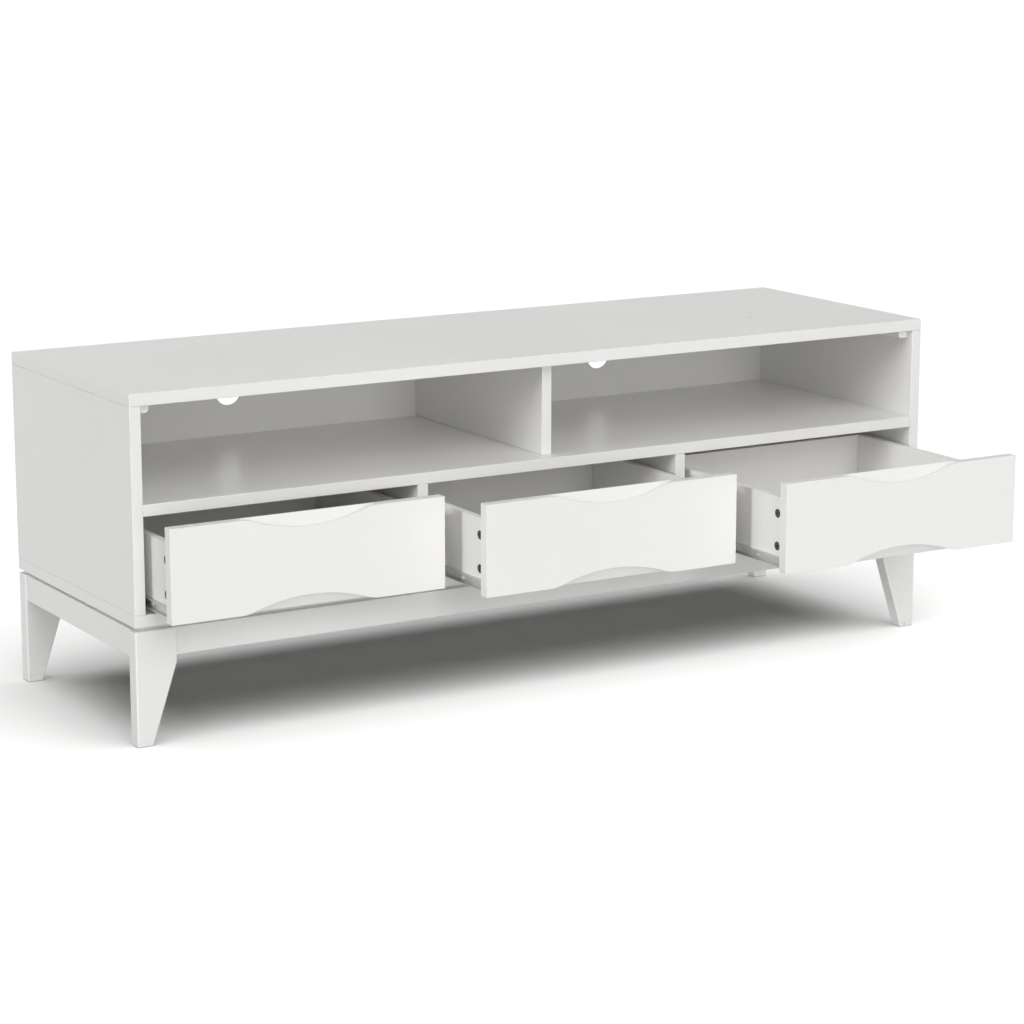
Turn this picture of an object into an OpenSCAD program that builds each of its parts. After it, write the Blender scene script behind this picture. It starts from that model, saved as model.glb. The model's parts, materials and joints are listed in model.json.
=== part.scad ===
// Low media cabinet: an open shelf in two bays above three drawers, on a leg frame.
// X runs along the cabinet, Y from front to back, Z up from the floor.

/* [Overall] */
// Width over the side panels
width = 1524; // [1250:1:1900]
// Depth of the carcass, drawer fronts closed
depth = 480; // [390:1:600]
// Height from the floor to the top surface
height = 560; // [460:1:700]

/* [Carcass] */
// Thickness of the top and bottom panels
slab_t = 20; // [16:0.5:28]
// Thickness of the side panels
side_t = 19; // [16:0.5:25]
// Thickness of the shelf
shelf_t = 19; // [16:0.5:25]
// Thickness of the upright dividers
divider_t = 19; // [16:0.5:25]
// Thickness of the back panel
back_t = 5; // [3:0.5:8]
// From the back panel's rear face to the carcass's rear edge
back_inset = 15; // [10:1:25]
// How far the back panel enters its grooves
groove_d = 8; // [5:0.5:10]
// From the front edge back to the upper divider's front
divider_setback = 27; // [0:1:60]
// Radius of the cable holes in the back panel
cable_r = 25; // [15:0.5:35]
// Width of the cleats under the top
cleat_w = 20; // [15:1:30]
// Height of the cleats under the top
cleat_h = 14; // [12:1:25]
// From the front edge back to the cleats' fronts
cleat_setback = 14; // [5:1:40]
// Depth of the counterbores for the cleats' screws
cleat_bore = 7; // [4:0.5:10]
// Radius of the cleats' lower inner edge
cleat_round = 6; // [2:0.5:10]

/* [Base] */
// Height of the legs
leg_h = 186; // [140:1:230]
// Thickness of the legs, front to back
leg_t = 27; // [22:1:36]
// Width of the legs at the rails
leg_top_w = 70; // [55:1:90]
// Width of the legs at the floor
leg_foot_w = 27; // [20:1:45]
// Height of each leg's straight upper part
leg_shoulder_h = 57; // [48:1:80]
// Radius of the legs' long edges
leg_round = 3; // [1:0.5:6]
// Height of the rails
rail_h = 45; // [32:1:55]
// Thickness of the rails
rail_t = 22; // [18:1:30]
// From the legs' outer faces in to the rails
rail_setback = 3; // [0:0.5:8]
// Length of the rails' tenons
tenon_l = 14; // [8:1:20]
// Height of the shadow gap between the base and the carcass
base_gap = 6; // [3:0.5:12]
// From the carcass's outline in to the spacer strips in the gap
spacer_inset = 14; // [8:1:20]
// Width of the spacer strips
spacer_w = 50; // [40:1:80]
// Side of the square corner blocks
block_w = 36; // [28:1:45]
// Height of the corner blocks
block_h = 40; // [30:1:50]

/* [Drawers] */
// Height of the drawer opening
opening_h = 155; // [125:1:200]
// Thickness of the drawer fronts
front_t = 19; // [16:0.5:22]
// Gap around each drawer front
front_gap = 2; // [1.5:0.5:4]
// Thickness of the drawer box's sides and back
box_t = 12; // [10:0.5:16]
// From the drawer bottom up to the lower cams' centres
cam_low = 15; // [10:0.5:25]
// From the box sides' top edges down to the upper cams' centres
cam_high = 28; // [10:0.5:40]
// From the front's top edge down to the box sides
box_drop = 29; // [22:1:50]
// From the front's bottom edge up to the box sides
box_rise = 7; // [5:0.5:12]
// Thickness of the drawer bottoms
tray_t = 5; // [3:0.5:6]
// From the box sides' lower edge up to the drawer bottom
tray_rise = 12; // [10:0.5:20]
// How far the drawer bottom enters its grooves
tray_groove_d = 6; // [3:0.5:7]
// Radius of the finger scoops' curve
scoop_r = 300; // [220:5:420]
// Height of the finger scoops at their middle
scoop_h = 20.5; // [12:0.5:26]
// Radius that blends each scoop into the straight edge
scoop_blend_r = 60; // [20:5:120]
// Depth of a scoop at its curve
scoop_curve_d = 5; // [2:0.5:8]
// Thickness that a scoop leaves at the edge of the front
scoop_skin = 3.5; // [2.5:0.5:6]
// How far the left drawer stands open
pull_left = 92; // [0:1:250]
// How far the middle drawer stands open
pull_middle = 184; // [0:1:250]
// How far the right drawer stands open
pull_right = 293; // [0:1:300]

/* [Slides] */
// Space between the drawer box and the carcass for a slide
slide_gap = 12.7; // [12.5:0.1:14]
// Height of the cabinet member
outer_h = 27; // [24:1:35]
// Height of the drawer member
inner_h = 16; // [14:1:20]
// Thickness of the steel strip
steel_t = 1.2; // [1:0.1:1.6]
// Height of the slides' centre line above the opening's floor
slide_z = 17; // [15:0.5:30]
// Gap behind the drawer front before the slides start
slide_start = 3; // [2:0.5:10]
// Radius of the bearing balls
ball_r = 1.95; // [1.5:0.05:2.4]
// Length of the ball cages
cage_l = 88; // [60:1:95]

/* [Fittings] */
// Radius of the wooden dowels
dowel_r = 4; // [3:0.5:5]
// Depth of a dowel in a panel's face
dowel_face_d = 10; // [8:0.5:12]
// Depth of a dowel in a panel's edge
dowel_edge_d = 20; // [15:1:30]
// Radius of the cam discs
cam_r = 7.4; // [6:0.1:7.5]
// Depth of the cam discs
cam_d = 9; // [8:0.5:9.5]
// From a joint back to its cam's centre
cam_back = 21; // [18:0.5:34]
// Radius of the cam pins
pin_r = 3; // [2.5:0.1:3.5]
// Depth of a cam pin in the piece that it is screwed into
pin_d = 10; // [8:0.5:12]
// Radius of the small screws' shanks
screw_r = 1.75; // [1.5:0.05:2.25]
// Length of the small screws under their heads
screw_l = 9; // [8:0.5:9.5]
// Radius of the small screws' heads
head_r = 3.5; // [3:0.1:4]
// Height of the small screws' heads
head_h = 1.6; // [1.2:0.1:1.8]
// Radius of the long screws and bolts
bolt_r = 3; // [2.5:0.1:3.5]
// Depth of the long screws in the boards' edges
long_screw_d = 30; // [20:1:40]
// Radius of the long screws' and bolts' heads
bolt_head_r = 6; // [5:0.1:7]
// Height of the long screws' and bolts' heads
bolt_head_h = 3.5; // [3:0.1:5]
// Radial clearance around dowels, pins and screws
hole_gap = 0.1; // [0.05:0.05:0.3]
// Clearance of panels in their grooves and of tenons in their mortises
groove_gap = 0.3; // [0.1:0.1:0.5]

/* [Hidden] */
// Smoothness of large curves and of small ones
$fn = 48;
big_fn = 240;
eps = 1;

// Levels, from the floor up
carcass_z = leg_h + base_gap;
floor_z = carcass_z + slab_t;
shelf_z = floor_z + opening_h;
bay_z = shelf_z + shelf_t;
top_z = height - slab_t;
bay_h = top_z - bay_z;

// Places from front to back, with the carcass's front edges at y = 0
back_y = depth - back_inset - back_t;
slide_y = front_t + slide_start;
slide_l = 50 * floor((back_y - slide_y - 5) / 50);
box_l = slide_l + slide_start;

// Places across
inner_w = width - 2 * side_t;
bay_w = (inner_w - 2 * divider_t) / 3;
bay_pitch = bay_w + divider_t;
upper_bay_w = (inner_w - divider_t) / 2;
front_w = bay_w - 2 * front_gap;
front_h = opening_h - 2 * front_gap;
box_w = bay_w - 2 * slide_gap;
box_z = front_gap + box_rise;
box_h = front_h - box_drop - box_rise;
tray_z = box_z + tray_rise;

// The frame's origin is under the middle of the whole outline, drawers as they stand
pulls = [pull_left, pull_middle, pull_right];
origin_y = (max(pulls) - depth) / 2;

// A ball cage lies midway along the stretch where both members overlap. Across, the screw
// heads, the cage's web, the drawer member's lips and the box side follow one another
cage_y = slide_y + (slide_l - cage_l) / 2;
cage_t = 0.8;
cage_gap = 0.8;
outer_lip_gap = 2;
cage_web_x = steel_t + head_h + cage_gap;
inner_lip = slide_gap - steel_t - cage_web_x - cage_t - 0.75 * cage_gap;
outer_lip = slide_gap - 2 * steel_t - outer_lip_gap;
cage_lip = outer_lip + steel_t - cage_web_x - cage_t;
ball_z = (inner_h / 2 + outer_h / 2 - steel_t) / 2;
ball_x = cage_web_x + cage_t + cage_lip / 2;
ball_pitch = 14;
ball_count = 6;

// Rows of dowels and screws along the depth
slide_screw_ys = [slide_y + 69, slide_y + slide_l - 40];
screw_ys = [slide_screw_ys[0] + 30, slide_screw_ys[1] - 30];
dowel_ys = [60, (screw_ys[0] + screw_ys[1]) / 2, back_y - 20];
cam_zs = [tray_z + tray_t + cam_low, box_z + box_h - cam_high];
divider_xs = [-bay_pitch / 2, bay_pitch / 2];

// Colours
lacquer = [0.93, 0.93, 0.92];
lacquer_shade = [0.88, 0.88, 0.87];
raw_board = [0.80, 0.77, 0.72];
zinc = [0.62, 0.63, 0.64];
dark_zinc = [0.28, 0.28, 0.29];
birch = [0.85, 0.74, 0.56];

// ---- Helpers ----

// A block that is centred in x and starts at y and z
module block(w, d, h, x = 0, y = 0, z = 0) {
  translate([x - w / 2, y, z]) cube([w, d, h]);
}

// A rod along +X, +Y or +Z from a point
module rod(point, along, length, r) {
  turn = along == "x" ? [0, 90, 0] : along == "y" ? [-90, 0, 0] : [0, 0, 0];
  translate(point) rotate(turn) cylinder(h = length, r = r);
}

// Puts the carcass's front edge in its place in the frame
module placed() {
  translate([0, origin_y, 0]) children();
}

// Puts a drawer, or what moves with it by a share of its travel, in its bay
module in_bay(bay, share = 1) {
  placed() translate([(bay - 1) * bay_pitch, -share * pulls[bay], floor_z]) children();
}

// Copies to both sides of the middle plane
module both_sides() {
  children();
  mirror([1, 0, 0]) children();
}

// ---- Dowels and screws of the carcass ----

// One row of upright dowels across a joint at height z
module upright_dowels(x, z, below, above, gap) {
  for (y = dowel_ys)
    rod([x, y, z - below - gap], "z", below + above + 2 * gap, dowel_r + gap);
}

module carcass_dowel_set(gap = 0) {
  side_x = width / 2 - side_t / 2;
  for (x = [-side_x, side_x]) {
    upright_dowels(x, floor_z, dowel_face_d, dowel_edge_d, gap);
    upright_dowels(x, top_z, dowel_edge_d, dowel_face_d, gap);
  }
  for (x = divider_xs) {
    upright_dowels(x, floor_z, dowel_face_d, dowel_edge_d, gap);
    upright_dowels(x, shelf_z, dowel_edge_d, dowel_face_d, gap);
  }
  upright_dowels(0, bay_z, dowel_face_d, dowel_edge_d, gap);
  upright_dowels(0, top_z, dowel_edge_d, dowel_face_d, gap);
  both_sides() for (y = dowel_ys)
    rod([inner_w / 2 - dowel_edge_d - gap, y, shelf_z + shelf_t / 2], "x",
      dowel_edge_d + dowel_face_d + 2 * gap, dowel_r + gap);
}

// Long screws up through the bottom panel into the sides and the drawer dividers
module carcass_screw_set(gap = 0) {
  side_x = width / 2 - side_t / 2;
  for (x = [-side_x, divider_xs[0], divider_xs[1], side_x], y = screw_ys) {
    rod([x, y, carcass_z - gap], "z", slab_t + long_screw_d + 2 * gap, bolt_r + gap);
    rod([x, y, carcass_z - gap], "z", bolt_head_h + gap, bolt_head_r + gap);
  }
}

// Cam pins and the cams' own holes where the shelf meets the side panels
module shelf_pins(gap = 0) {
  both_sides() for (y = screw_ys)
    rod([inner_w / 2 - cam_back - gap, y, shelf_z + shelf_t / 2], "x",
      cam_back + pin_d + 2 * gap, pin_r + gap);
}

module shelf_cams(gap = 0) {
  both_sides() for (y = screw_ys)
    rod([inner_w / 2 - cam_back, y, shelf_z - gap], "z", shelf_t / 2 + pin_r + 1.5 + gap, cam_r + gap);
}

// Screws that hold the cleats to the side panels, with their heads down counterbores
module cleat_screw_set(gap = 0) {
  both_sides() for (y = screw_ys) {
    rod([inner_w / 2 - cleat_w + cleat_bore - gap, y, top_z - cleat_h / 2], "x",
      cleat_w - cleat_bore + pin_d + 2 * gap, screw_r + gap);
    if (gap > 0) rod([inner_w / 2 - cleat_w - gap, y, top_z - cleat_h / 2], "x",
      cleat_bore + gap, head_r + gap);
    else rod([inner_w / 2 - cleat_w + cleat_bore - head_h, y, top_z - cleat_h / 2], "x",
      head_h, head_r);
  }
}

// A small pan-head screw that goes in along +X, with its head's underside at x = 0
module small_screw(gap = 0) {
  rod([-gap, 0, 0], "x", screw_l + 2 * gap, screw_r + gap);
  if (gap == 0) difference() {
    rod([-head_h, 0, 0], "x", head_h, head_r);
    translate([-head_h, 0, 0]) cube([1.6, 4, 0.8], center = true);
    translate([-head_h, 0, 0]) cube([1.6, 0.8, 4], center = true);
  }
}

// The screws that hold the cabinet members, in one bay
module cabinet_screws_in_bay(gap = 0) {
  both_sides() for (y = slide_screw_ys)
    translate([bay_w / 2 - steel_t, y, slide_z]) small_screw(gap);
}

module cabinet_screw_set(gap = 0) {
  for (bay = [-1 : 1]) translate([bay * bay_pitch, 0, floor_z]) cabinet_screws_in_bay(gap);
}

// ---- Carcass ----

module slab(z) {
  block(width, depth, slab_t, z = z);
}

// The space of the back panel's grooves
module back_panel_space(gap) {
  block(inner_w + 2 * groove_d, back_t + 2 * gap, top_z - floor_z + 2 * groove_d,
    y = back_y - gap, z = floor_z - groove_d);
}

module top_panel() {
  color(lacquer) placed() difference() {
    slab(top_z);
    back_panel_space(groove_gap / 2);
    carcass_dowel_set(hole_gap);
  }
}

module bottom_panel() {
  color(lacquer) placed() difference() {
    slab(carcass_z);
    back_panel_space(groove_gap / 2);
    carcass_dowel_set(hole_gap);
    carcass_screw_set(hole_gap);
    base_screw_set(hole_gap);
  }
}

module side_panel(hand) {
  color(lacquer) placed() difference() {
    block(side_t, depth, top_z - floor_z, x = hand * (width - side_t) / 2, z = floor_z);
    back_panel_space(groove_gap / 2);
    carcass_dowel_set(hole_gap);
    carcass_screw_set(hole_gap);
    shelf_pins(hole_gap);
    cleat_screw_set(hole_gap);
    cabinet_screw_set(hole_gap);
  }
}

module shelf() {
  color(lacquer) placed() difference() {
    block(inner_w, back_y, shelf_t, z = shelf_z);
    carcass_dowel_set(hole_gap);
    shelf_pins(hole_gap);
    shelf_cams(hole_gap);
  }
}

module bay_divider() {
  color(lacquer) placed() difference() {
    block(divider_t, back_y - divider_setback, bay_h, y = divider_setback, z = bay_z);
    carcass_dowel_set(hole_gap);
  }
}

module drawer_divider(hand) {
  color(lacquer) placed() difference() {
    block(divider_t, back_y, opening_h, x = hand * bay_pitch / 2, z = floor_z);
    carcass_dowel_set(hole_gap);
    carcass_screw_set(hole_gap);
    cabinet_screw_set(hole_gap);
  }
}

// A thin panel in grooves all round, with a cable hole in the middle of each upper bay
module back_panel() {
  in_groove = groove_d - groove_gap;
  color(lacquer_shade) placed() difference() {
    block(inner_w + 2 * in_groove, back_t, top_z - floor_z + 2 * in_groove,
      y = back_y, z = floor_z - in_groove);
    both_sides() rod([(upper_bay_w + divider_t) / 2, back_y - eps, bay_z + bay_h / 2], "y",
      back_t + 2 * eps, cable_r, $fn = 96);
  }
}

// A batten under the top, along a side panel, with its lower inner edge rounded
module top_cleat(hand) {
  length = back_y - cleat_setback;
  color(lacquer) placed() mirror([hand < 0 ? 1 : 0, 0, 0]) difference() {
    translate([inner_w / 2 - cleat_w, cleat_setback, top_z - cleat_h]) difference() {
      cube([cleat_w, length, cleat_h]);
      difference() {
        translate([-eps, -eps, -eps]) cube([cleat_round + eps, length + 2 * eps, cleat_round + eps]);
        rod([cleat_round, -2 * eps, cleat_round], "y", length + 4 * eps, cleat_round);
      }
    }
    cleat_screw_set(hole_gap);
  }
}

module carcass_dowels() {
  color(birch) placed() carcass_dowel_set();
}

module carcass_screws() {
  color(zinc) placed() carcass_screw_set();
}

module cleat_screws() {
  color(zinc) placed() cleat_screw_set();
}

// A cam disc with a cross slot in its face at z = 0, and a hole for its pin from +X
module cam(depth_in, pin_z) {
  difference() {
    cylinder(h = depth_in, r = cam_r);
    rod([-pin_r, 0, pin_z], "x", cam_r + 2 * pin_r, pin_r + hole_gap);
    cube([8, 1.4, 3], center = true);
    cube([1.4, 8, 3], center = true);
  }
}

module shelf_cam_fittings() {
  color(dark_zinc) placed() {
    shelf_pins();
    both_sides() for (y = screw_ys)
      translate([inner_w / 2 - cam_back, y, shelf_z]) cam(shelf_t / 2 + pin_r + 1.5, shelf_t / 2);
  }
}

// ---- Base ----

// A leg's section, w wide and t thick, with the two corners at x = 0 rounded
module rounded_strip(w, t, r) {
  translate([r, 0]) square([w - r, t]);
  translate([0, r]) square([w, t - 2 * r]);
  for (y = [r, t - r]) translate([r, y]) circle(r = r);
}

// A leg with its outer front edge on the z axis: straight at the rails, then tapered inside
module leg_blank() {
  shoulder_z = leg_h - leg_shoulder_h;
  taper = atan2(leg_top_w - leg_foot_w, shoulder_z);
  intersection() {
    linear_extrude(leg_h) rounded_strip(leg_top_w, leg_t, leg_round);
    union() {
      translate([0, 0, shoulder_z]) cube([leg_top_w, leg_t, leg_shoulder_h]);
      intersection() {
        cube([leg_top_w, leg_t, shoulder_z]);
        translate([leg_foot_w, 0, 0]) rotate([0, taper, 0]) mirror([1, 0, 0]) translate([0, 0, -leg_top_w])
          linear_extrude(leg_h + 2 * leg_top_w) rounded_strip(2 * leg_top_w, leg_t, leg_round);
      }
    }
  }
}

// The tenons of the rails that meet at one corner, drawn for the front left one
tenon_inset_y = 5;
tenon_inset_z = 7;
tenon_y = rail_setback + tenon_inset_y;
tenon_z = leg_h - rail_h + tenon_inset_z;
tenon_t = rail_t - 2 * tenon_inset_y;
tenon_h = rail_h - 2 * tenon_inset_z;

module long_tenon(gap = 0) {
  translate([leg_top_w - tenon_l - gap, tenon_y - gap, tenon_z - gap])
    cube([tenon_l + eps + gap, tenon_t + 2 * gap, tenon_h + 2 * gap]);
}

module short_tenon(gap = 0) {
  translate([tenon_y - gap, leg_t - tenon_l - gap, tenon_z - gap])
    cube([tenon_t + 2 * gap, tenon_l + eps + gap, tenon_h + 2 * gap]);
}

// Moves the front left corner's pieces to another corner; hand and end are -1 or 1
module at_corner(hand, end) {
  translate([0, depth / 2, 0]) mirror([hand > 0 ? 1 : 0, 0, 0]) mirror([0, end > 0 ? 1 : 0, 0])
    translate([-width / 2, -depth / 2, 0]) children();
}

module at_all_corners() {
  for (hand = [-1, 1], end = [-1, 1]) at_corner(hand, end) children();
}

// A corner's block, behind the leg and inside the side rail
block_x = rail_setback + rail_t;
block_y = leg_t;

// The bolt from a block into its leg, between the two tenons
module corner_bolt(gap = 0) {
  x = (tenon_y + tenon_t + leg_top_w - tenon_l) / 2;
  z = leg_h - block_h / 2 - 6;
  rod([x, block_y - leg_t * 0.6 - gap, z], "y", leg_t * 0.6 + block_w + 2 * gap, bolt_r + gap);
  if (gap == 0) rod([x, block_y + block_w, z], "y", bolt_head_h, bolt_head_r, $fn = 6);
}

// The screw from a block up into the bottom panel
module corner_screw(gap = 0) {
  x = block_x + 0.75 * block_w;
  y = block_y + block_w / 2;
  rod([x, y, leg_h - block_h - gap], "z", block_h + base_gap + 0.7 * slab_t + 2 * gap, bolt_r + gap);
  if (gap == 0) rod([x, y, leg_h - block_h - bolt_head_h], "z", bolt_head_h, bolt_head_r);
}

module base_screw_set(gap = 0) {
  at_all_corners() corner_screw(gap);
}

module leg(hand, end) {
  color(lacquer) placed() at_corner(hand, end) difference() {
    leg_blank();
    long_tenon(groove_gap / 2);
    short_tenon(groove_gap / 2);
    corner_bolt(hole_gap);
  }
}

// A rail along X; end is -1 at the front and 1 at the back
module long_rail(end) {
  length = width - 2 * leg_top_w;
  color(lacquer_shade) placed() translate([0, depth / 2, 0]) mirror([0, end > 0 ? 1 : 0, 0])
    translate([0, -depth / 2, 0]) {
      block(length, rail_t, rail_h, y = rail_setback, z = leg_h - rail_h);
      block(length + 2 * tenon_l, tenon_t, tenon_h, y = tenon_y, z = tenon_z);
    }
}

// A rail along Y; hand is -1 at the left and 1 at the right
module short_rail(hand) {
  length = depth - 2 * leg_t;
  color(lacquer_shade) placed() mirror([hand > 0 ? 1 : 0, 0, 0]) translate([-width / 2, 0, 0]) {
    translate([rail_setback, leg_t, leg_h - rail_h]) cube([rail_t, length, rail_h]);
    translate([tenon_y, leg_t - tenon_l, tenon_z]) cube([tenon_t, length + 2 * tenon_l, tenon_h]);
  }
}

module corner_blocks() {
  color(raw_board) placed() at_all_corners() difference() {
    translate([block_x, block_y, leg_h - block_h]) cube([block_w, block_w, block_h]);
    corner_bolt(hole_gap);
    corner_screw(hole_gap);
  }
}

// Four strips in the shadow gap, set in from the outline, that carry the carcass
module base_spacers() {
  long_l = width - 2 * spacer_inset;
  short_y = spacer_inset + spacer_w + groove_gap;
  color(lacquer_shade) placed() difference() {
    union() {
      for (y = [spacer_inset, depth - spacer_inset - spacer_w])
        block(long_l, spacer_w, base_gap, y = y, z = leg_h);
      both_sides() translate([width / 2 - spacer_inset - spacer_w, short_y, leg_h])
        cube([spacer_w, depth - 2 * short_y, base_gap]);
    }
    base_screw_set(hole_gap);
  }
}

module leg_bolts() {
  color(zinc) placed() at_all_corners() corner_bolt();
}

module base_screws() {
  color(zinc) placed() base_screw_set();
}

// ---- Slides, drawn at the right side of a bay ----

// A channel with its web at x = 0 and its lips towards -X
module channel(length, h, lip) {
  translate([-steel_t, 0, -h / 2]) cube([steel_t, length, h]);
  for (z = [-h / 2, h / 2 - steel_t])
    translate([-steel_t - lip, 0, z]) cube([lip + steel_t, length, steel_t]);
}

module cabinet_slides(bay) {
  color(zinc) in_bay(bay, 0) difference() {
    both_sides() translate([bay_w / 2, slide_y, slide_z]) channel(slide_l, outer_h, outer_lip);
    cabinet_screws_in_bay(hole_gap);
  }
}

module cabinet_slide_screws() {
  color(zinc) placed() cabinet_screw_set();
}

// The screws that hold a drawer member to the box
module drawer_screw_set(gap = 0) {
  both_sides() for (y = slide_screw_ys)
    translate([box_w / 2 + steel_t, y, slide_z]) mirror([1, 0, 0]) small_screw(gap);
}

// A drawer member, with the stamped rib that stiffens its front end
module drawer_slides(bay) {
  rib_l = 46;
  color(zinc) in_bay(bay) difference() {
    both_sides() translate([box_w / 2, slide_y, slide_z]) {
      mirror([1, 0, 0]) channel(slide_l, inner_h, inner_lip);
      translate([steel_t, 0, -2]) cube([0.8, rib_l, 4]);
    }
    drawer_screw_set(hole_gap);
  }
}

module drawer_slide_screws(bay) {
  color(zinc) in_bay(bay) drawer_screw_set();
}

// A folded strip that holds two rows of balls between the members' lips
module ball_cages(bay) {
  web_h = 2 * ball_z + cage_t;
  first = cage_y + (cage_l - (ball_count - 1) * ball_pitch) / 2;
  color(zinc) in_bay(bay, 0.5) both_sides() translate([bay_w / 2, 0, slide_z]) {
    translate([-cage_web_x - cage_t, cage_y, -web_h / 2]) cube([cage_t, cage_l, web_h]);
    for (side = [-1, 1]) difference() {
      translate([-cage_web_x - cage_t - cage_lip, cage_y, side * ball_z - cage_t / 2])
        cube([cage_lip, cage_l, cage_t]);
      for (n = [0 : ball_count - 1])
        rod([-ball_x, first + n * ball_pitch, side * ball_z - cage_t], "z", 2 * cage_t, ball_r + hole_gap);
    }
    for (side = [-1, 1], n = [0 : ball_count - 1])
      translate([-ball_x, first + n * ball_pitch, side * ball_z]) sphere(r = ball_r, $fn = 24);
  }
}

// ---- Drawers, each drawn with its front face at y = 0 and the opening's floor at z = 0 ----

// The outline of a finger scoop, cut down from an edge at z = 0: one wide arc that is
// blended into the edge by a smaller one at each end
module scoop_outline(through) {
  blend_x = sqrt(pow(scoop_r + scoop_blend_r, 2) - pow(scoop_r + scoop_blend_r - scoop_h, 2));
  meet = scoop_r / (scoop_r + scoop_blend_r);
  meet_x = blend_x * meet;
  meet_z = scoop_r - scoop_h - (scoop_r - scoop_h + scoop_blend_r) * meet;
  rod([0, -eps, scoop_r - scoop_h], "y", through, scoop_r, $fn = big_fn);
  both_sides() difference() {
    translate([meet_x - eps, -eps, meet_z]) cube([blend_x - meet_x + eps, through, eps - meet_z]);
    rod([blend_x, -2 * eps, -scoop_blend_r], "y", through + 2 * eps, scoop_blend_r, $fn = big_fn);
  }
}

// A finger scoop at a front's top edge: it is open at the edge, and its floor leans back
module scoop() {
  reach = front_w;
  scoop_edge_d = front_t - scoop_skin;
  lean = (scoop_edge_d - scoop_curve_d) / scoop_h;
  intersection() {
    scoop_outline(front_t + eps);
    translate([reach / 2, 0, 0]) rotate([0, -90, 0]) linear_extrude(reach) polygon([
      [eps, -eps], [eps, scoop_edge_d + lean * eps], [-scoop_h, scoop_curve_d],
      [-scoop_h - eps, scoop_curve_d], [-scoop_h - eps, -eps]
    ]);
  }
}

module drawer_front(bay) {
  mid_z = opening_h / 2;
  color(lacquer) in_bay(bay) difference() {
    block(front_w, front_t, front_h, z = front_gap);
    for (side = [0, 1]) translate([0, 0, mid_z]) mirror([0, 0, side]) translate([0, 0, front_h / 2]) scoop();
    tray_space(groove_gap / 2);
    front_pins(hole_gap);
  }
}

// The drawer bottom's space in the front, the sides and the back
module tray_space(gap = 0) {
  depth_in = tray_groove_d - (gap == 0 ? groove_gap : 0);
  block(box_w - 2 * box_t + 2 * depth_in, box_l - box_t + 2 * depth_in, tray_t + 2 * gap,
    y = front_t - depth_in, z = tray_z - gap);
}

// Pins from the drawer front into the box sides' cams
module front_pins(gap = 0) {
  both_sides() for (z = cam_zs)
    rod([box_w / 2 - cam_d / 2, front_t - pin_d - gap, z], "y", pin_d + cam_back + 2 * gap, pin_r + gap);
}

module front_cams(gap = 0) {
  both_sides() for (z = cam_zs)
    rod([box_w / 2 - cam_d, front_t + cam_back, z], "x", cam_d + eps, cam_r + gap);
}

// Screws through the box sides into the ends of the drawer back
module back_screws(gap = 0) {
  both_sides() for (z = cam_zs) {
    rod([box_w / 2 - box_t - long_screw_d - gap, front_t + box_l - box_t / 2, z], "x",
      box_t + long_screw_d + 2 * gap, screw_r + gap);
    rod([box_w / 2 - head_h - gap, front_t + box_l - box_t / 2, z], "x", head_h + gap + (gap > 0 ? eps : 0),
      head_r + gap);
  }
}

module drawer_side(bay, hand) {
  color(lacquer) in_bay(bay) difference() {
    block(box_t, box_l, box_h, x = hand * (box_w - box_t) / 2, y = front_t, z = box_z);
    tray_space(groove_gap / 2);
    front_pins(hole_gap);
    front_cams(hole_gap);
    back_screws(hole_gap);
    drawer_screw_set(hole_gap);
  }
}

module drawer_back(bay) {
  color(lacquer) in_bay(bay) difference() {
    block(box_w - 2 * box_t, box_t, box_h, y = front_t + box_l - box_t, z = box_z);
    tray_space(groove_gap / 2);
    back_screws(hole_gap);
  }
}

module drawer_bottom(bay) {
  color(lacquer_shade) in_bay(bay) tray_space();
}

module drawer_cam_fittings(bay) {
  color(dark_zinc) in_bay(bay) {
    front_pins();
    back_screws();
    both_sides() for (z = cam_zs) translate([box_w / 2, front_t + cam_back, z])
      rotate([0, -90, 0]) rotate([0, 0, -90]) cam(cam_d, cam_d / 2);
  }
}

// ---- Nodes ----

top_panel();
side_panel(-1);  // side_panel_left
side_panel(1);  // side_panel_right
bottom_panel();
shelf();
bay_divider();
drawer_divider(-1);  // drawer_divider_left
drawer_divider(1);  // drawer_divider_right
back_panel();
top_cleat(-1);  // top_cleat_left
top_cleat(1);  // top_cleat_right
leg(-1, -1);  // leg_front_left
leg(1, -1);  // leg_front_right
leg(-1, 1);  // leg_rear_left
leg(1, 1);  // leg_rear_right
long_rail(-1);  // rail_front
long_rail(1);  // rail_rear
short_rail(-1);  // rail_left
short_rail(1);  // rail_right
corner_blocks();
base_spacers();
leg_bolts();
base_screws();
carcass_dowels();
carcass_screws();
cleat_screws();
shelf_cam_fittings();
cabinet_slide_screws();
cabinet_slides(0);  // cabinet_slides_left
cabinet_slides(1);  // cabinet_slides_middle
cabinet_slides(2);  // cabinet_slides_right
drawer_front(0);  // drawer_left_front
drawer_side(0, -1);  // drawer_left_side_left
drawer_side(0, 1);  // drawer_left_side_right
drawer_back(0);  // drawer_left_back
drawer_bottom(0);  // drawer_left_bottom
drawer_cam_fittings(0);  // drawer_left_cam_fittings
drawer_slides(0);  // drawer_left_slides
drawer_slide_screws(0);  // drawer_left_slide_screws
ball_cages(0);  // drawer_left_ball_cages
drawer_front(1);  // drawer_middle_front
drawer_side(1, -1);  // drawer_middle_side_left
drawer_side(1, 1);  // drawer_middle_side_right
drawer_back(1);  // drawer_middle_back
drawer_bottom(1);  // drawer_middle_bottom
drawer_cam_fittings(1);  // drawer_middle_cam_fittings
drawer_slides(1);  // drawer_middle_slides
drawer_slide_screws(1);  // drawer_middle_slide_screws
ball_cages(1);  // drawer_middle_ball_cages
drawer_front(2);  // drawer_right_front
drawer_side(2, -1);  // drawer_right_side_left
drawer_side(2, 1);  // drawer_right_side_right
drawer_back(2);  // drawer_right_back
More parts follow.
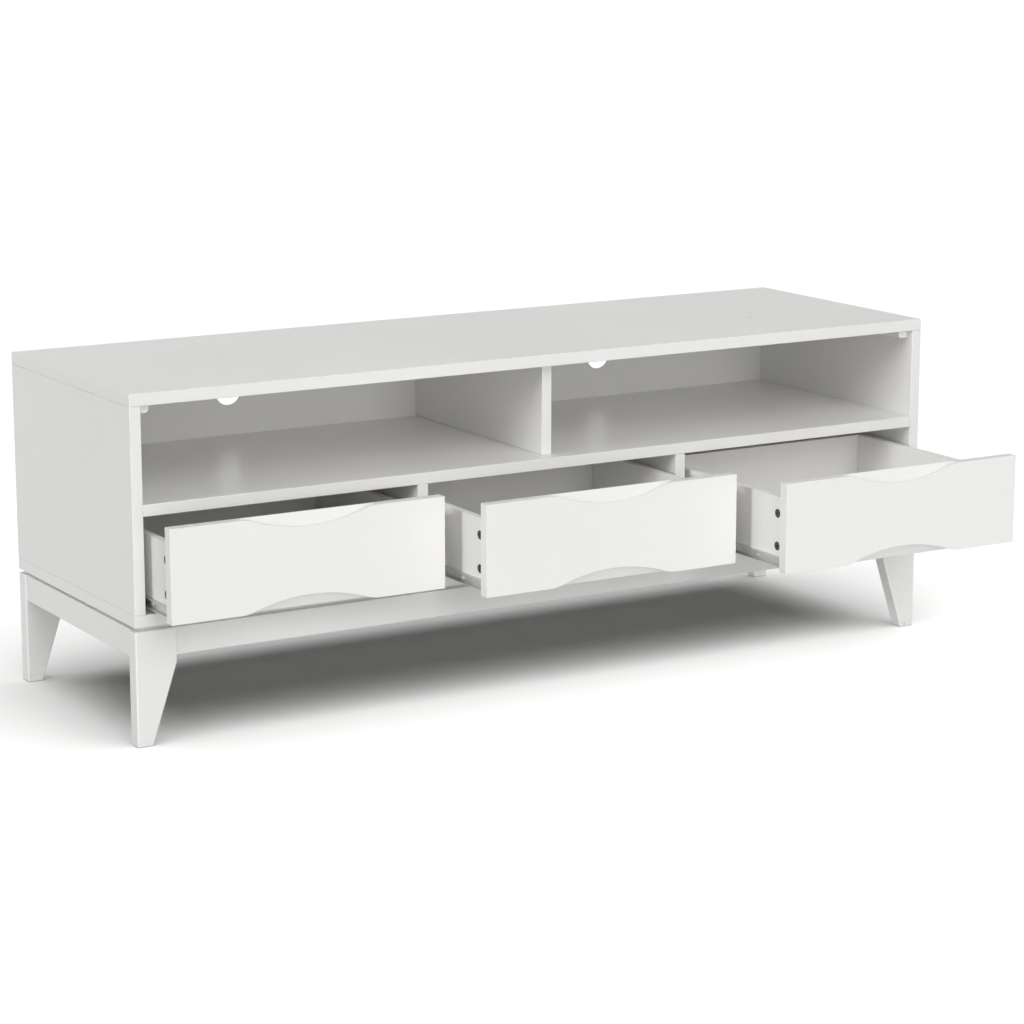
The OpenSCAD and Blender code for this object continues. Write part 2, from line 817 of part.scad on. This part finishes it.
drawer_bottom(2);  // drawer_right_bottom
drawer_cam_fittings(2);  // drawer_right_cam_fittings
drawer_slides(2);  // drawer_right_slides
drawer_slide_screws(2);  // drawer_right_slide_screws
ball_cages(2);  // drawer_right_ball_cages
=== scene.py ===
import json
import math

import bmesh
import bpy
import numpy as np
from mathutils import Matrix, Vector


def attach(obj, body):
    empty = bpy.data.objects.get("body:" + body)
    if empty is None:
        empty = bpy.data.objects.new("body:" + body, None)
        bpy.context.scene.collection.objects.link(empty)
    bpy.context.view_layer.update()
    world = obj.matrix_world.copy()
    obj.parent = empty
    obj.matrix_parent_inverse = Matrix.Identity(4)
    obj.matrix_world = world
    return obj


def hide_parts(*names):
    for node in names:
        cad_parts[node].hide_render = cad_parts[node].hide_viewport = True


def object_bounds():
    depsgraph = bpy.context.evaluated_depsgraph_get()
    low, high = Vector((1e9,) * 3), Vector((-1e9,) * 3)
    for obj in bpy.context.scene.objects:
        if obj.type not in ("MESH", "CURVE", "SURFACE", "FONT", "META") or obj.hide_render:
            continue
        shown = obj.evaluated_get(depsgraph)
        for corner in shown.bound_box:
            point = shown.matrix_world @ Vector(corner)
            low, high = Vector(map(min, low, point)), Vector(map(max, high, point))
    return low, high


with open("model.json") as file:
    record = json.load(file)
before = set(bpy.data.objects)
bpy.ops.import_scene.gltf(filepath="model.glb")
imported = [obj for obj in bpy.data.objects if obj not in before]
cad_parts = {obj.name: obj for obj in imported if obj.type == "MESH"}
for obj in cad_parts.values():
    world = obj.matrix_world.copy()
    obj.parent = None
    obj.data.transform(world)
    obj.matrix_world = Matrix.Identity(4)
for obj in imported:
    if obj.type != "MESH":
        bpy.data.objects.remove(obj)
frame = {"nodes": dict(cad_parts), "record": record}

CAD_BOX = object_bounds()
NODES = frame["nodes"]
RECORD = frame["record"]
SLOTS = {row["node"]: row["material_slot"] for row in RECORD["subparts"]}
BODIES = {node: body for body, members in RECORD["behaviour"]["bodies"].items() for node in members}
MM = 0.001


# ---- Finishes ----

class Tone:
    """A value or colour that varies over a surface. Sums, differences and products add Math nodes."""

    def __init__(self, finish, socket):
        self.finish, self.socket = finish, socket

    def maths(self, operation, *values):
        return self.finish.node("ShaderNodeMath", {"operation": operation}, dict(enumerate(values)))

    def __add__(self, other):
        return self.maths("ADD", self, other)

    def __sub__(self, other):
        return self.maths("SUBTRACT", self, other)

    def __rsub__(self, other):
        return self.maths("SUBTRACT", other, self)

    def __mul__(self, other):
        return self.maths("MULTIPLY", self, other)

    __radd__ = __add__
    __rmul__ = __mul__

    def between(self, low, high, start=0.0, end=1.0):
        """Eases from start to end as the value goes from low to high."""
        settings = {"interpolation_type": "SMOOTHSTEP"}
        steps = {"Value": self, "From Min": low, "From Max": high, "To Min": start, "To Max": end}
        return self.finish.node("ShaderNodeMapRange", settings, steps)


class Finish:
    """A material that is built up node by node around one Principled shader."""

    def __init__(self, name, **constants):
        self.material = bpy.data.materials.new(name)
        self.material.use_nodes = True
        self.tree = self.material.node_tree
        self.tree.nodes.clear()
        self.shader = self.tree.nodes.new("ShaderNodeBsdfPrincipled")
        output = self.tree.nodes.new("ShaderNodeOutputMaterial")
        self.tree.links.new(self.shader.outputs[0], output.inputs["Surface"])
        for socket, value in constants.items():
            self.shader.inputs[socket.replace("_", " ")].default_value = value
        self.place = self.node("ShaderNodeTexCoord", {}, {}, "Object")

    def node(self, kind, settings, values, output=0):
        """Adds a node: its settings first, then the values or links of its sockets."""
        made = self.tree.nodes.new(kind)
        for key, value in settings.items():
            setattr(made, key, value)
        for key, value in values.items():
            if isinstance(value, Tone):
                self.tree.links.new(value.socket, made.inputs[key])
            else:
                made.inputs[key].default_value = value
        return Tone(self, made.outputs[output])

    def stretched(self, along, ratio):
        """Object coordinates that change slowly along one axis, for grain and rolling marks."""
        scale = tuple(1.0 if axis == along else ratio for axis in "xyz")
        return self.node("ShaderNodeMapping", {}, {"Vector": self.place, "Scale": scale})

    def noise(self, scale, detail=2.0, roughness=0.5, at=None):
        """Clouds of about 1 / scale metres, from 0 to 1."""
        values = {"Vector": at or self.place, "Scale": scale, "Detail": detail, "Roughness": roughness}
        return self.node("ShaderNodeTexNoise", {}, values)

    def cells(self, scale):
        """Distance to the nearest point of an even scatter, for pebbled and spangled surfaces."""
        return self.node("ShaderNodeTexVoronoi", {}, {"Vector": self.place, "Scale": scale}, "Distance")

    def height(self):
        """How high a point is above the floor, in metres."""
        return self.node("ShaderNodeSeparateXYZ", {}, {"Vector": self.place}, "Z")

    def arris(self):
        """1 along the middle of a rounded arris and 0 on the faces beside it, from the mesh."""
        return self.node("ShaderNodeAttribute", {"attribute_name": "arris"}, {}, "Fac")

    def mixed(self, factor, first, second):
        """One colour laid over another by a factor. A Mix node's colour sockets are its 6 and 7, and
        its colour output is its 2."""
        values = {0: factor}
        for socket, colour in ((6, first), (7, second)):
            values[socket] = colour if isinstance(colour, Tone) else (*colour, 1.0)
        return self.node("ShaderNodeMix", {"data_type": "RGBA"}, values, 2)

    def bump(self, height, depth, strength=1.0, under=None):
        """A relief of this depth in metres, on top of another relief."""
        values = {"Height": height, "Distance": depth, "Strength": strength}
        if under is not None:
            values["Normal"] = under
        return self.node("ShaderNodeBump", {}, values)

    def laid(self, **surfaces):
        """Links what varies over the surface to the shader's sockets."""
        for socket, tone in surfaces.items():
            self.tree.links.new(tone.socket, self.shader.inputs[socket.replace("_", " ")])
        return self.material


def white_lacquer(name, grain=None, feet=False):
    """Sprayed satin lacquer: orange peel of a few millimetres, slow clouds of tone and thin arrises,
    with the wood's grain showing through along one axis and scuffs at the feet where asked for."""
    f = Finish(name, IOR=1.5, Specular_IOR_Level=0.5)
    clouds = f.noise(2.6, 3.0, 0.55)
    mottle = f.noise(38.0, 3.0, 0.6)
    peel = f.noise(310.0, 2.0, 0.5)
    dust = f.noise(1500.0, 1.0, 0.5)
    worn = f.arris() * f.noise(70.0, 4.0, 0.65).between(0.42, 0.7)
    colour = f.mixed(clouds.between(0.3, 0.7), (0.878, 0.872, 0.856), (0.896, 0.890, 0.874))
    colour = f.mixed(mottle.between(0.45, 0.8, 0.0, 0.30), colour, (0.862, 0.856, 0.841))
    colour = f.mixed(worn * 0.55, colour, (0.62, 0.61, 0.585))
    roughness = clouds.between(0.3, 0.7, 0.26, 0.30) + mottle * 0.05 + worn * 0.12
    relief = f.bump(peel, 0.03 * MM, 0.35)
    relief = f.bump(dust, 0.008 * MM, 0.2, relief)
    if grain:
        fibres = f.noise(9.0, 4.0, 0.6, at=f.stretched(grain, 26.0))
        pores = f.noise(26.0, 2.0, 0.5, at=f.stretched(grain, 34.0)).between(0.55, 0.75)
        relief = f.bump(fibres, 0.10 * MM, 0.45, relief)
        relief = f.bump(1 - pores, 0.04 * MM, 0.4, relief)
        colour = f.mixed(pores * 0.10, colour, (0.70, 0.69, 0.66))
    if feet:
        scuff = f.height().between(0.022, 0.0) * f.noise(120.0, 4.0, 0.7).between(0.45, 0.72)
        colour = f.mixed(scuff * 0.45, colour, (0.50, 0.48, 0.45))
        roughness = roughness + scuff * 0.15
    return f.laid(Base_Color=colour, Roughness=roughness, Normal=relief)


def white_foil():
    """Satin foil pressed on board, with an embossed pore a millimetre long."""
    f = Finish("white_drawer_foil", IOR=1.5)
    clouds = f.noise(4.0, 2.0, 0.5)
    pores = f.noise(160.0, 3.0, 0.6, at=f.stretched("y", 7.0))
    cells = f.cells(900.0)
    worn = f.arris() * f.noise(90.0, 4.0, 0.6).between(0.45, 0.7)
    colour = f.mixed(clouds.between(0.3, 0.7), (0.868, 0.862, 0.848), (0.890, 0.884, 0.869))
    colour = f.mixed(pores.between(0.55, 0.8, 0.0, 0.25), colour, (0.83, 0.824, 0.81))
    colour = f.mixed(worn * 0.5, colour, (0.60, 0.58, 0.55))
    roughness = clouds.between(0.3, 0.7, 0.42, 0.47) + pores * 0.06
    relief = f.bump(pores, 0.06 * MM, 0.5)
    relief = f.bump(cells, 0.02 * MM, 0.4, relief)
    return f.laid(Base_Color=colour, Roughness=roughness, Normal=relief)


def painted_hardboard():
    """Matt paint rolled on hardboard: a stipple over the faint felted ground of the board."""
    f = Finish("white_painted_hardboard", IOR=1.47)
    clouds = f.noise(3.5, 3.0, 0.6)
    stipple = f.noise(420.0, 2.0, 0.6)
    felt = f.noise(130.0, 4.0, 0.7)
    colour = f.mixed(clouds.between(0.3, 0.7), (0.855, 0.850, 0.834), (0.878, 0.872, 0.856))
    colour = f.mixed(felt.between(0.5, 0.8, 0.0, 0.35), colour, (0.825, 0.816, 0.797))
    roughness = clouds.between(0.3, 0.7, 0.55, 0.62) + stipple * 0.08
    relief = f.bump(stipple, 0.06 * MM, 0.55)
    relief = f.bump(felt, 0.08 * MM, 0.35, relief)
    return f.laid(Base_Color=colour, Roughness=roughness, Normal=relief)


def bare_wood(name, along, light, dark, rings=55.0):
    """Planed wood: wavy growth bands along the grain, fine fibres and a few darker pores."""
    f = Finish(name, IOR=1.5)
    flow = f.stretched(along, 9.0)
    sway = f.noise(14.0, 3.0, 0.5)
    bands = f.noise(rings / 9.0, 2.0, 0.4, at=flow) * 6.0 + sway * 0.6
    bands = bands.maths("SINE", bands * 3.1).between(-0.4, 1.0)
    fibres = f.noise(60.0, 5.0, 0.7, at=f.stretched(along, 14.0))
    colour = f.mixed(bands * 0.75, light, dark)
    colour = f.mixed(fibres.between(0.45, 0.8, 0.0, 0.45), colour, tuple(0.72 * c for c in dark))
    roughness = fibres.between(0.2, 0.8, 0.58, 0.74) - bands * 0.05
    relief = f.bump(fibres, 0.12 * MM, 0.5)
    return f.laid(Base_Color=colour, Roughness=roughness, Normal=relief)


def zinc_strip():
    """Rolled, zinc-plated strip: lengthwise rolling lines, soft spangle and dull patches."""
    f = Finish("zinc_plated_strip", Metallic=1.0)
    lines = f.noise(55.0, 4.0, 0.6, at=f.stretched("y", 45.0))
    spangle = f.cells(240.0)
    patches = f.noise(30.0, 3.0, 0.6)
    colour = f.mixed(spangle.between(0.1, 0.9), (0.66, 0.66, 0.65), (0.62, 0.62, 0.61))
    colour = f.mixed(patches.between(0.5, 0.75, 0.0, 0.4), colour, (0.60, 0.595, 0.58))
    colour = f.mixed(lines.between(0.55, 0.8, 0.0, 0.3), colour, (0.50, 0.50, 0.49))
    roughness = patches.between(0.3, 0.7, 0.40, 0.50) + lines * 0.08
    relief = f.bump(lines, 0.01 * MM, 0.4)
    relief = f.bump(spangle, 0.006 * MM, 0.3, relief)
    return f.laid(Base_Color=colour, Roughness=roughness, Normal=relief)


def plated_fitting(name, light, dark, low, high):
    """Turned or cast metal with plating: fine pebbling, rubbed high spots and dull hollows. Its
    roughness goes from low where it is bright to high where it is dull."""
    f = Finish(name, Metallic=1.0)
    pebble = f.noise(1900.0, 3.0, 0.6)
    dull = f.noise(260.0, 3.0, 0.6)
    colour = f.mixed(dull.between(0.35, 0.7), light, dark)
    colour = f.mixed(pebble.between(0.6, 0.85, 0.0, 0.5), colour, tuple(0.6 * c for c in dark))
    roughness = dull.between(0.3, 0.7, low, high) + pebble * 0.08
    relief = f.bump(pebble, 0.02 * MM, 0.6)
    return f.laid(Base_Color=colour, Roughness=roughness, Normal=relief)


BOARD_LACQUER = white_lacquer("white_lacquer_on_board")
LEG_LACQUER = white_lacquer("white_lacquer_on_leg", "z", feet=True)
LONG_RAIL_LACQUER = white_lacquer("white_lacquer_on_long_rail", "x")
SHORT_RAIL_LACQUER = white_lacquer("white_lacquer_on_short_rail", "y")
FINISHES = {
    "white_lacquer": BOARD_LACQUER,
    "white_drawer_board": white_foil(),
    "white_hardboard": painted_hardboard(),
    "raw_board": bare_wood("sanded_corner_block", "z", (0.62, 0.50, 0.35), (0.48, 0.35, 0.22)),
    "birch_dowel": bare_wood("birch_dowel", "z", (0.68, 0.54, 0.36), (0.56, 0.42, 0.26), 120.0),
    "zinc_slide": zinc_strip(),
    "zinc_fastener": plated_fitting(
        "zinc_plated_screw", (0.94, 0.94, 0.93), (0.82, 0.82, 0.81), 0.26, 0.36),
    # painted shade: the cams get a near-black colour that stands in for the shade of the holes they sit
    # in, where the cams themselves are light zinc
    "dark_fitting": plated_fitting(
        "cam_painted_dark_for_hole_shade", (0.13, 0.13, 0.135), (0.07, 0.07, 0.075), 0.38, 0.52),
}


def is_leg(node):
    """True for the four leg boards, and not for the bolts that hold them."""
    return node.startswith("leg_") and SLOTS[node] == "white_lacquer"


def finish_of(node):
    """The material of a node: its slot's finish, with grain along the legs and rails."""
    if is_leg(node):
        return LEG_LACQUER
    if node in ("rail_front", "rail_rear"):
        return LONG_RAIL_LACQUER
    if node in ("rail_left", "rail_right"):
        return SHORT_RAIL_LACQUER
    return FINISHES[SLOTS[node]]


# ---- Eased edges ----

# arris radii in millimetres
EASED = {
    "drawer_front": 1.0,
    "leg": 1.6,
    "rail": 1.5,
    "cleat": 1.5,
    "carcass": 1.2,
    "drawer_board": 0.8,
    "slide": 0.4,
}
ARRIS_STEPS = 3
SHARP_FROM = math.radians(35)
LARGEST_HOLE_RIM = 23 * MM
SAME_POINT = 0.001 * MM
SAME_FACE = math.radians(0.2)


def outer_edges(mesh):
    """The sharp convex edges of a closed mesh, less those of fixing holes: edges are walked in
    chains that touch, and a chain whose box is no longer from corner to corner than the largest
    rim is a hole's rim."""
    sharp = {e for e in mesh.edges
             if e.is_manifold and e.is_convex and e.calc_face_angle() > SHARP_FROM}
    kept = []
    while sharp:
        chain, ends = [], [sharp.pop()]
        while ends:
            edge = ends.pop()
            chain.append(edge)
            touching = {e for v in edge.verts for e in v.link_edges} & sharp
            sharp -= touching
            ends += touching
        points = np.array([v.co for e in chain for v in e.verts])
        if np.linalg.norm(np.ptp(points, axis=0)) > LARGEST_HOLE_RIM:
            kept += chain
    return kept


def eased(node, radius):
    """A node's board with its arrises rounded to a radius. The mesh carries an attribute that is 1
    along the middle of each arris and 0 on the faces beside it."""
    shape = bmesh.new()
    shape.from_mesh(NODES[node].data)
    bmesh.ops.remove_doubles(shape, verts=shape.verts, dist=SAME_POINT)
    bmesh.ops.dissolve_limit(shape, angle_limit=SAME_FACE, verts=shape.verts, edges=shape.edges)
    for face in shape.faces:
        face.material_index = 0
    edges = sorted(outer_edges(shape), key=lambda e: e.index)
    bmesh.ops.bevel(shape, geom=edges, offset=radius, offset_type="OFFSET", segments=ARRIS_STEPS,
                    profile=0.5, affect="EDGES", clamp_overlap=False, material=1)
    mesh = bpy.data.meshes.new(node + "_eased")
    shape.to_mesh(mesh)
    shape.free()

    # the rounding marked its own faces with material 1: a corner that no other face uses is an arris
    corners = np.empty(len(mesh.loops), int)
    rounded = np.empty(len(mesh.polygons), int)
    counts = np.empty(len(mesh.polygons), int)
    mesh.loops.foreach_get("vertex_index", corners)
    mesh.polygons.foreach_get("material_index", rounded)
    mesh.polygons.foreach_get("loop_total", counts)
    flat = np.repeat(rounded == 0, counts)
    beside = np.bincount(corners, weights=flat, minlength=len(mesh.vertices)) > 0
    arris = mesh.attributes.new("arris", "FLOAT", "POINT")
    arris.data.foreach_set("value", np.where(beside, 0.0, 1.0).astype(np.float32))
    mesh.polygons.foreach_set("material_index", np.zeros(len(mesh.polygons), np.int32))
    mesh.polygons.foreach_set("use_smooth", np.ones(len(mesh.polygons), bool))
    mesh.set_sharp_from_angle(angle=SHARP_FROM)

    piece = bpy.data.objects.new(node + "_eased", mesh)
    bpy.context.scene.collection.objects.link(piece)
    mesh.materials.append(finish_of(node))
    even = piece.modifiers.new("even_faces", "WEIGHTED_NORMAL")
    even.keep_sharp = True
    even.weight = 100
    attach(piece, BODIES[node])
    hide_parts(node)
    return piece


def arris_radius(node):
    """The arris radius of a node in millimetres, or None where it stays as it is."""
    if node.startswith("drawer_") and node.endswith("_front"):
        return EASED["drawer_front"]
    if is_leg(node):
        return EASED["leg"]
    if node.startswith("rail_"):
        return EASED["rail"]
    if node.startswith("top_cleat"):
        return EASED["cleat"]
    if SLOTS[node] == "white_drawer_board":
        return EASED["drawer_board"]
    if SLOTS[node] == "white_lacquer" and node != "base_spacers":
        return EASED["carcass"]
    if SLOTS[node] == "zinc_slide" and not node.endswith("cages"):
        return EASED["slide"]
    return None


shown = {}
for name, part in NODES.items():
    radius = arris_radius(name)
    if radius:
        part = eased(name, radius * MM)
    else:
        part.data.materials.clear()
        part.data.materials.append(finish_of(name))
    shown[name] = part


# ---- Studio ----

FLOOR_REACH = 60.0
FLOOR_POINTS = 61
FLOOR_DROP = 0.3 * MM


def studio_floor():
    """A wide, level sheet just under the feet, in a pale matt paint with a faint grain: x and y run
    evenly from minus the reach to the reach, and z is minus the drop everywhere."""
    across = np.linspace(-FLOOR_REACH, FLOOR_REACH, FLOOR_POINTS)
    x, y = np.meshgrid(across, across)
    points = np.stack([x, y, np.full_like(x, -FLOOR_DROP)], -1).reshape(-1, 3)
    steps = np.arange(FLOOR_POINTS - 1)
    first = (steps[:, None] * FLOOR_POINTS + steps).ravel()
    quads = np.stack([first, first + 1, first + FLOOR_POINTS + 1, first + FLOOR_POINTS], -1)
    mesh = bpy.data.meshes.new("studio_floor")
    mesh.from_pydata(points.tolist(), [], quads.tolist())
    floor = bpy.data.objects.new("studio_floor", mesh)
    bpy.context.scene.collection.objects.link(floor)
    f = Finish("pale_studio_floor", IOR=1.4, Specular_IOR_Level=0.1)
    tone = f.noise(1.5, 3.0, 0.5).between(0.3, 0.7)
    colour = f.mixed(tone, (0.895, 0.893, 0.888), (0.905, 0.903, 0.898))
    roughness = f.noise(30.0).between(0.3, 0.7, 0.78, 0.84)
    mesh.materials.append(f.laid(Base_Color=colour, Roughness=roughness))
    floor.visible_diffuse = floor.visible_shadow = False
    return floor


# azimuth and elevation of the light's side in degrees, its width in degrees, its strength
CABINET_LIGHTS = {
    "left_light": (-83, 12, 14, 1.16),
    "front_left_light": (-45, 10, 60, 0.27),
    "front_light": (0, 32, 44, 0.94),
    "low_front_light": (0, 5, 30, 0.54),
    "floor_bounce": (-12, -28, 70, 0.84),
    "overhead_light": (0, 88, 140, 1.22),
    "right_light": (104, 12, 50, 1.30),
    "rear_light": (180, 12, 50, 1.20),
}
UNREFLECTED = {"right_light", "rear_light"}
FLOOR_DOME = (-6, 75, 90, 4.0)
SHELF_GLEAM = (149, 12, 34, 0.24)
SCOOP_BOUNCE = (0, -75, 40, 0.50)
RIGHT_LEG_BOUNCE = (-80, -20, 60, 0.80)
SEEN_SKY, REFLECTED_SKY = 1.0, 0.40


def distant_light(name, azimuth, elevation, softness, strength, receivers):
    """Even light from a direction round the cabinet, as wide as softness in degrees, which falls
    only on the receivers."""
    lamp = bpy.data.lights.new(name, "SUN")
    lamp.energy, lamp.angle = strength, math.radians(softness)
    holder = bpy.data.objects.new(name, lamp)
    bpy.context.scene.collection.objects.link(holder)
    holder.rotation_euler = (math.radians(90 - elevation), 0, math.radians(azimuth))
    holder.light_linking.receiver_collection = receivers
    return holder


def only(name, *objects):
    """A light group of these objects."""
    group = bpy.data.collections.new(name)
    for thing in objects:
        group.objects.link(thing)
    return group


def all_but(name, *objects):
    """A light group of everything except these objects."""
    group = only(name, *objects)
    for link in group.collection_objects:
        link.light_linking.link_state = "EXCLUDE"
    return group


def cabinet_light(floor, pieces):
    """Broad soft lights on the whole cabinet, and three faint ones on single pieces: a gleam that the
    shelf mirrors at the cable holes, and the floor's bounce into the fronts and on the right legs."""
    cabinet_only = all_but("lit_cabinet", floor)
    for name, settings in CABINET_LIGHTS.items():
        distant_light(name, *settings, cabinet_only).visible_glossy = name not in UNREFLECTED
    shelf = only("lit_shelf", pieces["shelf"])
    distant_light("shelf_gleam", *SHELF_GLEAM, shelf).visible_diffuse = False
    fronts = [pieces[f"drawer_{bay}_front"] for bay in ("left", "middle", "right")]
    distant_light("scoop_bounce", *SCOOP_BOUNCE, only("lit_fronts", *fronts))
    right_legs = pieces["leg_front_right"], pieces["leg_rear_right"]
    distant_light("right_leg_bounce", *RIGHT_LEG_BOUNCE, only("lit_right_legs", *right_legs))


def floor_light(floor, pieces):
    """The floor's own light, which the drawers and what moves with them don't shade."""
    moving = [piece for node, piece in pieces.items() if BODIES[node] != "cabinet"]
    dome = distant_light("floor_dome", *FLOOR_DOME, only("lit_floor", floor))
    dome.light_linking.blocker_collection = all_but("floor_shaders", *moving)


def studio_sky():
    """A white sky that lights nothing: it is seen round the floor, and dimmer in reflections."""
    sky = bpy.data.worlds.new("studio_sky")
    bpy.context.scene.world = sky
    sky.use_nodes = True
    background = sky.node_tree.nodes["Background"]
    background.inputs["Color"].default_value = (1.0, 1.0, 1.0, 1.0)
    ray = sky.node_tree.nodes.new("ShaderNodeLightPath")
    strength = sky.node_tree.nodes.new("ShaderNodeMapRange")
    strength.inputs["To Min"].default_value = REFLECTED_SKY
    strength.inputs["To Max"].default_value = SEEN_SKY
    sky.node_tree.links.new(ray.outputs["Is Camera Ray"], strength.inputs["Value"])
    sky.node_tree.links.new(strength.outputs[0], background.inputs["Strength"])
    sky.cycles_visibility.diffuse = False


CAMERA_AZIMUTH, CAMERA_ELEVATION = math.radians(-30.80), math.radians(12.13)
CAMERA_DISTANCE = 5.104
CAMERA_AIM_FROM_MIDDLE = Vector((-0.021, 0.011, -0.0035))
LENS_MM, SENSOR_MM = 106.01, 36.0
SEES_AS_FAR_AS = 400.0


def studio_camera():
    """A long lens at the cabinet's front left, a little above it."""
    low, high = CAD_BOX
    aim = (low + high) / 2 + CAMERA_AIM_FROM_MIDDLE
    level = math.cos(CAMERA_ELEVATION)
    back = Vector((math.sin(CAMERA_AZIMUTH) * level, -math.cos(CAMERA_AZIMUTH) * level,
                   math.sin(CAMERA_ELEVATION)))
    lens = bpy.data.cameras.new("studio_camera")
    lens.lens, lens.sensor_width, lens.clip_end = LENS_MM, SENSOR_MM, SEES_AS_FAR_AS
    camera = bpy.data.objects.new("studio_camera", lens)
    bpy.context.scene.collection.objects.link(camera)
    camera.location = aim + back * CAMERA_DISTANCE
    camera.rotation_euler = (math.pi / 2 - CAMERA_ELEVATION, 0.0, CAMERA_AZIMUTH)
    bpy.context.scene.camera = camera


floor = studio_floor()
cabinet_light(floor, shown)
floor_light(floor, shown)
studio_sky()
studio_camera()
bpy.context.scene.view_settings.view_transform = "Standard"
